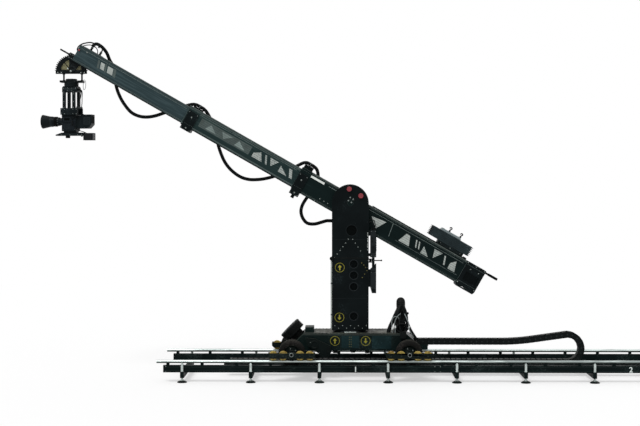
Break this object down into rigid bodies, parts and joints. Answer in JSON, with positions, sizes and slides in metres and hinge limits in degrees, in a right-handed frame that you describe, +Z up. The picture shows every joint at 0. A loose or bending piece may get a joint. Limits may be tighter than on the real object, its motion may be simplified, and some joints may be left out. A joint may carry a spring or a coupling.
{
  "type": "camera jib crane",
  "caption": "Telescoping camera crane with a levelled remote head, on a forked post and a dolly that rolls on straight tube track.",
  "frame": {"origin": "on the floor under the middle of the crane's bounding box", "axes": "+X along the track from the boom's nose to its tail, +Y away from the side with the brake lever, +Z up"},
  "size_m": [7.4328, 1.197, 3.7542],
  "materials": {
    "rail_alloy": "brushed",
    "track_black": "satin",
    "tray_sheet": "satin",
    "chain_plastic": "matte",
    "chassis_paint": "worn satin",
    "bogie_paint": "satin",
    "yellow_polymer": "satin",
    "tyre_rubber": "matte",
    "post_paint": "satin",
    "lever_steel": "polished",
    "boom_paint": "satin",
    "nose_alloy": "satin",
    "sector_paint": "satin",
    "weight_paint": "painted",
    "head_black": "satin",
    "cable_black": "matte"
  },
  "bodies": {
    "track": {"track_frame_front": "track_black", "track_frame_rear": "track_black", "rail_near_front": "rail_alloy", "rail_far_front": "rail_alloy", "rail_near_rear": "rail_alloy", "rail_far_rear": "rail_alloy", "cable_tray": "tray_sheet", "drag_chain": "chain_plastic"},
    "dolly": {"chassis": "chassis_paint", "drive_motor": "bogie_paint", "umbilical_tower": "cable_black", "bogie_front_near": "bogie_paint", "bogie_front_far": "bogie_paint", "bogie_rear_near": "bogie_paint", "bogie_rear_far": "bogie_paint"},
    "column": {"column_core": "post_paint", "cheek_near": "post_paint", "cheek_far": "post_paint", "control_box": "post_paint"},
    "lever": {"brake_lever": "lever_steel"},
    "boom": {"boom_base": "boom_paint", "tail_housing": "boom_paint", "saddle_rear": "post_paint", "umbilical_rear": "cable_black"},
    "mid_stage": {"boom_mid": "boom_paint", "saddle_front": "post_paint", "umbilical_mid": "cable_black"},
    "front_stage": {"boom_front": "nose_alloy", "nose_bracket": "nose_alloy", "umbilical_front": "cable_black"},
    "weights": {"weight_carriage": "weight_paint", "weight_stack": "weight_paint"},
    "level": {"level_sector": "sector_paint"},
    "head": {"head_housing": "head_black", "leg_frame": "head_black"},
    "camera": {"tilt_block": "head_black", "camera_body": "head_black", "camera_lens": "head_black", "base_plate": "head_black"},
    "focus": {"focus_ring": "cable_black"},
    "track_wheel_front_near_1": {"bogie_wheel_front_near_1": "yellow_polymer"},
    "track_wheel_front_near_2": {"bogie_wheel_front_near_2": "yellow_polymer"},
    "track_wheel_front_near_3": {"bogie_wheel_front_near_3": "yellow_polymer"},
    "track_wheel_front_near_4": {"bogie_wheel_front_near_4": "yellow_polymer"},
    "track_wheel_front_far_1": {"bogie_wheel_front_far_1": "yellow_polymer"},
    "track_wheel_front_far_2": {"bogie_wheel_front_far_2": "yellow_polymer"},
    "track_wheel_front_far_3": {"bogie_wheel_front_far_3": "yellow_polymer"},
    "track_wheel_front_far_4": {"bogie_wheel_front_far_4": "yellow_polymer"},
    "track_wheel_rear_near_1": {"bogie_wheel_rear_near_1": "yellow_polymer"},
    "track_wheel_rear_near_2": {"bogie_wheel_rear_near_2": "yellow_polymer"},
    "track_wheel_rear_near_3": {"bogie_wheel_rear_near_3": "yellow_polymer"},
    "track_wheel_rear_near_4": {"bogie_wheel_rear_near_4": "yellow_polymer"},
    "track_wheel_rear_far_1": {"bogie_wheel_rear_far_1": "yellow_polymer"},
    "track_wheel_rear_far_2": {"bogie_wheel_rear_far_2": "yellow_polymer"},
    "track_wheel_rear_far_3": {"bogie_wheel_rear_far_3": "yellow_polymer"},
    "track_wheel_rear_far_4": {"bogie_wheel_rear_far_4": "yellow_polymer"},
    "tyre_front_near": {"road_wheel_front_near": "tyre_rubber"},
    "tyre_front_far": {"road_wheel_front_far": "tyre_rubber"},
    "tyre_rear_near": {"road_wheel_rear_near": "tyre_rubber"},
    "tyre_rear_far": {"road_wheel_rear_far": "tyre_rubber"}
  },
  "joints": [
    {"name": "dolly_travel", "type": "slide", "parent": "track", "child": "dolly", "axis": [1, 0, 0], "range_m": [-1.1, 2.6], "deforming": ["drag_chain"]},
    {"name": "column_pan", "type": "hinge", "parent": "dolly", "child": "column", "pos_m": [-0.23326, 0, 0.52], "axis": [0, 0, 1], "range_deg": [-180, 180]},
    {"name": "boom_tilt", "type": "hinge", "parent": "column", "child": "boom", "pos_m": [-0.23326, 0, 1.9545], "axis": [0, 1, 0], "range_deg": [-35, 18], "deforming": ["umbilical_rear"]},
    {"name": "mid_slide", "type": "slide", "parent": "boom", "child": "mid_stage", "axis": [-0.8686, 0, 0.4955], "range_m": [-0.8, 0], "deforming": ["umbilical_mid"]},
    {"name": "front_slide", "type": "slide", "parent": "mid_stage", "child": "front_stage", "axis": [-0.8686, 0, 0.4955], "range_m": [-0.8, 0], "deforming": ["umbilical_front"]},
    {"name": "weight_slide", "type": "slide", "parent": "boom", "child": "weights", "axis": [-0.8686, 0, 0.4955], "range_m": [0, 0.32]},
    {"name": "head_level", "type": "hinge", "parent": "front_stage", "child": "level", "pos_m": [-3.36937, 0, 3.43086], "axis": [0, 1, 0], "range_deg": [-18, 35]},
    {"name": "head_pan", "type": "hinge", "parent": "level", "child": "head", "pos_m": [-3.36937, 0, 3.31086], "axis": [0, 0, 1], "range_deg": [-180, 180]},
    {"name": "head_tilt", "type": "hinge", "parent": "head", "child": "camera", "pos_m": [-3.36937, 0, 2.97486], "axis": [0.1564, 0.9877, 0], "range_deg": [-30, 30]},
    {"name": "focus_turn", "type": "hinge", "parent": "camera", "child": "focus", "pos_m": [-3.54518, 0.02785, 2.86586], "axis": [0.9877, -0.1564, 0], "range_deg": [-150, 150]},
    {"name": "brake_lever_turn", "type": "hinge", "parent": "column", "child": "lever", "pos_m": [-0.01126, -0.15, 1.312], "axis": [0, 0, 1], "range_deg": [-25, 0]},
    {"name": "track_wheel_front_near_1_roll", "type": "hinge", "parent": "dolly", "child": "track_wheel_front_near_1", "pos_m": [-1.07826, -0.5, 0.2907], "axis": [0, 1, 0], "continuous": true},
    {"name": "track_wheel_front_near_2_roll", "type": "hinge", "parent": "dolly", "child": "track_wheel_front_near_2", "pos_m": [-0.96976, -0.5, 0.2907], "axis": [0, 1, 0], "continuous": true},
    {"name": "track_wheel_front_near_3_roll", "type": "hinge", "parent": "dolly", "child": "track_wheel_front_near_3", "pos_m": [-0.78676, -0.5, 0.2907], "axis": [0, 1, 0], "continuous": true},
    {"name": "track_wheel_front_near_4_roll", "type": "hinge", "parent": "dolly", "child": "track_wheel_front_near_4", "pos_m": [-0.67826, -0.5, 0.2907], "axis": [0, 1, 0], "continuous": true},
    {"name": "track_wheel_front_far_1_roll", "type": "hinge", "parent": "dolly", "child": "track_wheel_front_far_1", "pos_m": [-1.07826, 0.5, 0.2907], "axis": [0, 1, 0], "continuous": true},
    {"name": "track_wheel_front_far_2_roll", "type": "hinge", "parent": "dolly", "child": "track_wheel_front_far_2", "pos_m": [-0.96976, 0.5, 0.2907], "axis": [0, 1, 0], "continuous": true},
    {"name": "track_wheel_front_far_3_roll", "type": "hinge", "parent": "dolly", "child": "track_wheel_front_far_3", "pos_m": [-0.78676, 0.5, 0.2907], "axis": [0, 1, 0], "continuous": true},
    {"name": "track_wheel_front_far_4_roll", "type": "hinge", "parent": "dolly", "child": "track_wheel_front_far_4", "pos_m": [-0.67826, 0.5, 0.2907], "axis": [0, 1, 0], "continuous": true},
    {"name": "track_wheel_rear_near_1_roll", "type": "hinge", "parent": "dolly", "child": "track_wheel_rear_near_1", "pos_m": [0.21174, -0.5, 0.2907], "axis": [0, 1, 0], "continuous": true},
    {"name": "track_wheel_rear_near_2_roll", "type": "hinge", "parent": "dolly", "child": "track_wheel_rear_near_2", "pos_m": [0.32024, -0.5, 0.2907], "axis": [0, 1, 0], "continuous": true},
    {"name": "track_wheel_rear_near_3_roll", "type": "hinge", "parent": "dolly", "child": "track_wheel_rear_near_3", "pos_m": [0.50324, -0.5, 0.2907], "axis": [0, 1, 0], "continuous": true},
    {"name": "track_wheel_rear_near_4_roll", "type": "hinge", "parent": "dolly", "child": "track_wheel_rear_near_4", "pos_m": [0.61174, -0.5, 0.2907], "axis": [0, 1, 0], "continuous": true},
    {"name": "track_wheel_rear_far_1_roll", "type": "hinge", "parent": "dolly", "child": "track_wheel_rear_far_1", "pos_m": [0.21174, 0.5, 0.2907], "axis": [0, 1, 0], "continuous": true},
    {"name": "track_wheel_rear_far_2_roll", "type": "hinge", "parent": "dolly", "child": "track_wheel_rear_far_2", "pos_m": [0.32024, 0.5, 0.2907], "axis": [0, 1, 0], "continuous": true},
    {"name": "track_wheel_rear_far_3_roll", "type": "hinge", "parent": "dolly", "child": "track_wheel_rear_far_3", "pos_m": [0.50324, 0.5, 0.2907], "axis": [0, 1, 0], "continuous": true},
    {"name": "track_wheel_rear_far_4_roll", "type": "hinge", "parent": "dolly", "child": "track_wheel_rear_far_4", "pos_m": [0.61174, 0.5, 0.2907], "axis": [0, 1, 0], "continuous": true},
    {"name": "tyre_front_near_roll", "type": "hinge", "parent": "dolly", "child": "tyre_front_near", "pos_m": [-0.87826, -0.3825, 0.305], "axis": [0, 1, 0], "continuous": true},
    {"name": "tyre_front_far_roll", "type": "hinge", "parent": "dolly", "child": "tyre_front_far", "pos_m": [-0.87826, 0.3825, 0.305], "axis": [0, 1, 0], "continuous": true},
    {"name": "tyre_rear_near_roll", "type": "hinge", "parent": "dolly", "child": "tyre_rear_near", "pos_m": [0.41174, -0.3825, 0.305], "axis": [0, 1, 0], "continuous": true},
    {"name": "tyre_rear_far_roll", "type": "hinge", "parent": "dolly", "child": "tyre_rear_far", "pos_m": [0.41174, 0.3825, 0.305], "axis": [0, 1, 0], "continuous": true}
  ],
  "couplings": [
    {"joint": "front_slide", "follows": "mid_slide", "ratio": 1},
    {"joint": "weight_slide", "follows": "mid_slide", "ratio": -0.4},
    {"joint": "head_level", "follows": "boom_tilt", "ratio": -1},
    {"joint": "track_wheel_front_near_1_roll", "follows": "dolly_travel", "rad_per_m": 20.833},
    {"joint": "track_wheel_front_near_2_roll", "follows": "dolly_travel", "rad_per_m": 20.833},
    {"joint": "track_wheel_front_near_3_roll", "follows": "dolly_travel", "rad_per_m": 20.833},
    {"joint": "track_wheel_front_near_4_roll", "follows": "dolly_travel", "rad_per_m": 20.833},
    {"joint": "track_wheel_front_far_1_roll", "follows": "dolly_travel", "rad_per_m": 20.833},
    {"joint": "track_wheel_front_far_2_roll", "follows": "dolly_travel", "rad_per_m": 20.833},
    {"joint": "track_wheel_front_far_3_roll", "follows": "dolly_travel", "rad_per_m": 20.833},
    {"joint": "track_wheel_front_far_4_roll", "follows": "dolly_travel", "rad_per_m": 20.833},
    {"joint": "track_wheel_rear_near_1_roll", "follows": "dolly_travel", "rad_per_m": 20.833},
    {"joint": "track_wheel_rear_near_2_roll", "follows": "dolly_travel", "rad_per_m": 20.833},
    {"joint": "track_wheel_rear_near_3_roll", "follows": "dolly_travel", "rad_per_m": 20.833},
    {"joint": "track_wheel_rear_near_4_roll", "follows": "dolly_travel", "rad_per_m": 20.833},
    {"joint": "track_wheel_rear_far_1_roll", "follows": "dolly_travel", "rad_per_m": 20.833},
    {"joint": "track_wheel_rear_far_2_roll", "follows": "dolly_travel", "rad_per_m": 20.833},
    {"joint": "track_wheel_rear_far_3_roll", "follows": "dolly_travel", "rad_per_m": 20.833},
    {"joint": "track_wheel_rear_far_4_roll", "follows": "dolly_travel", "rad_per_m": 20.833}
  ]
}
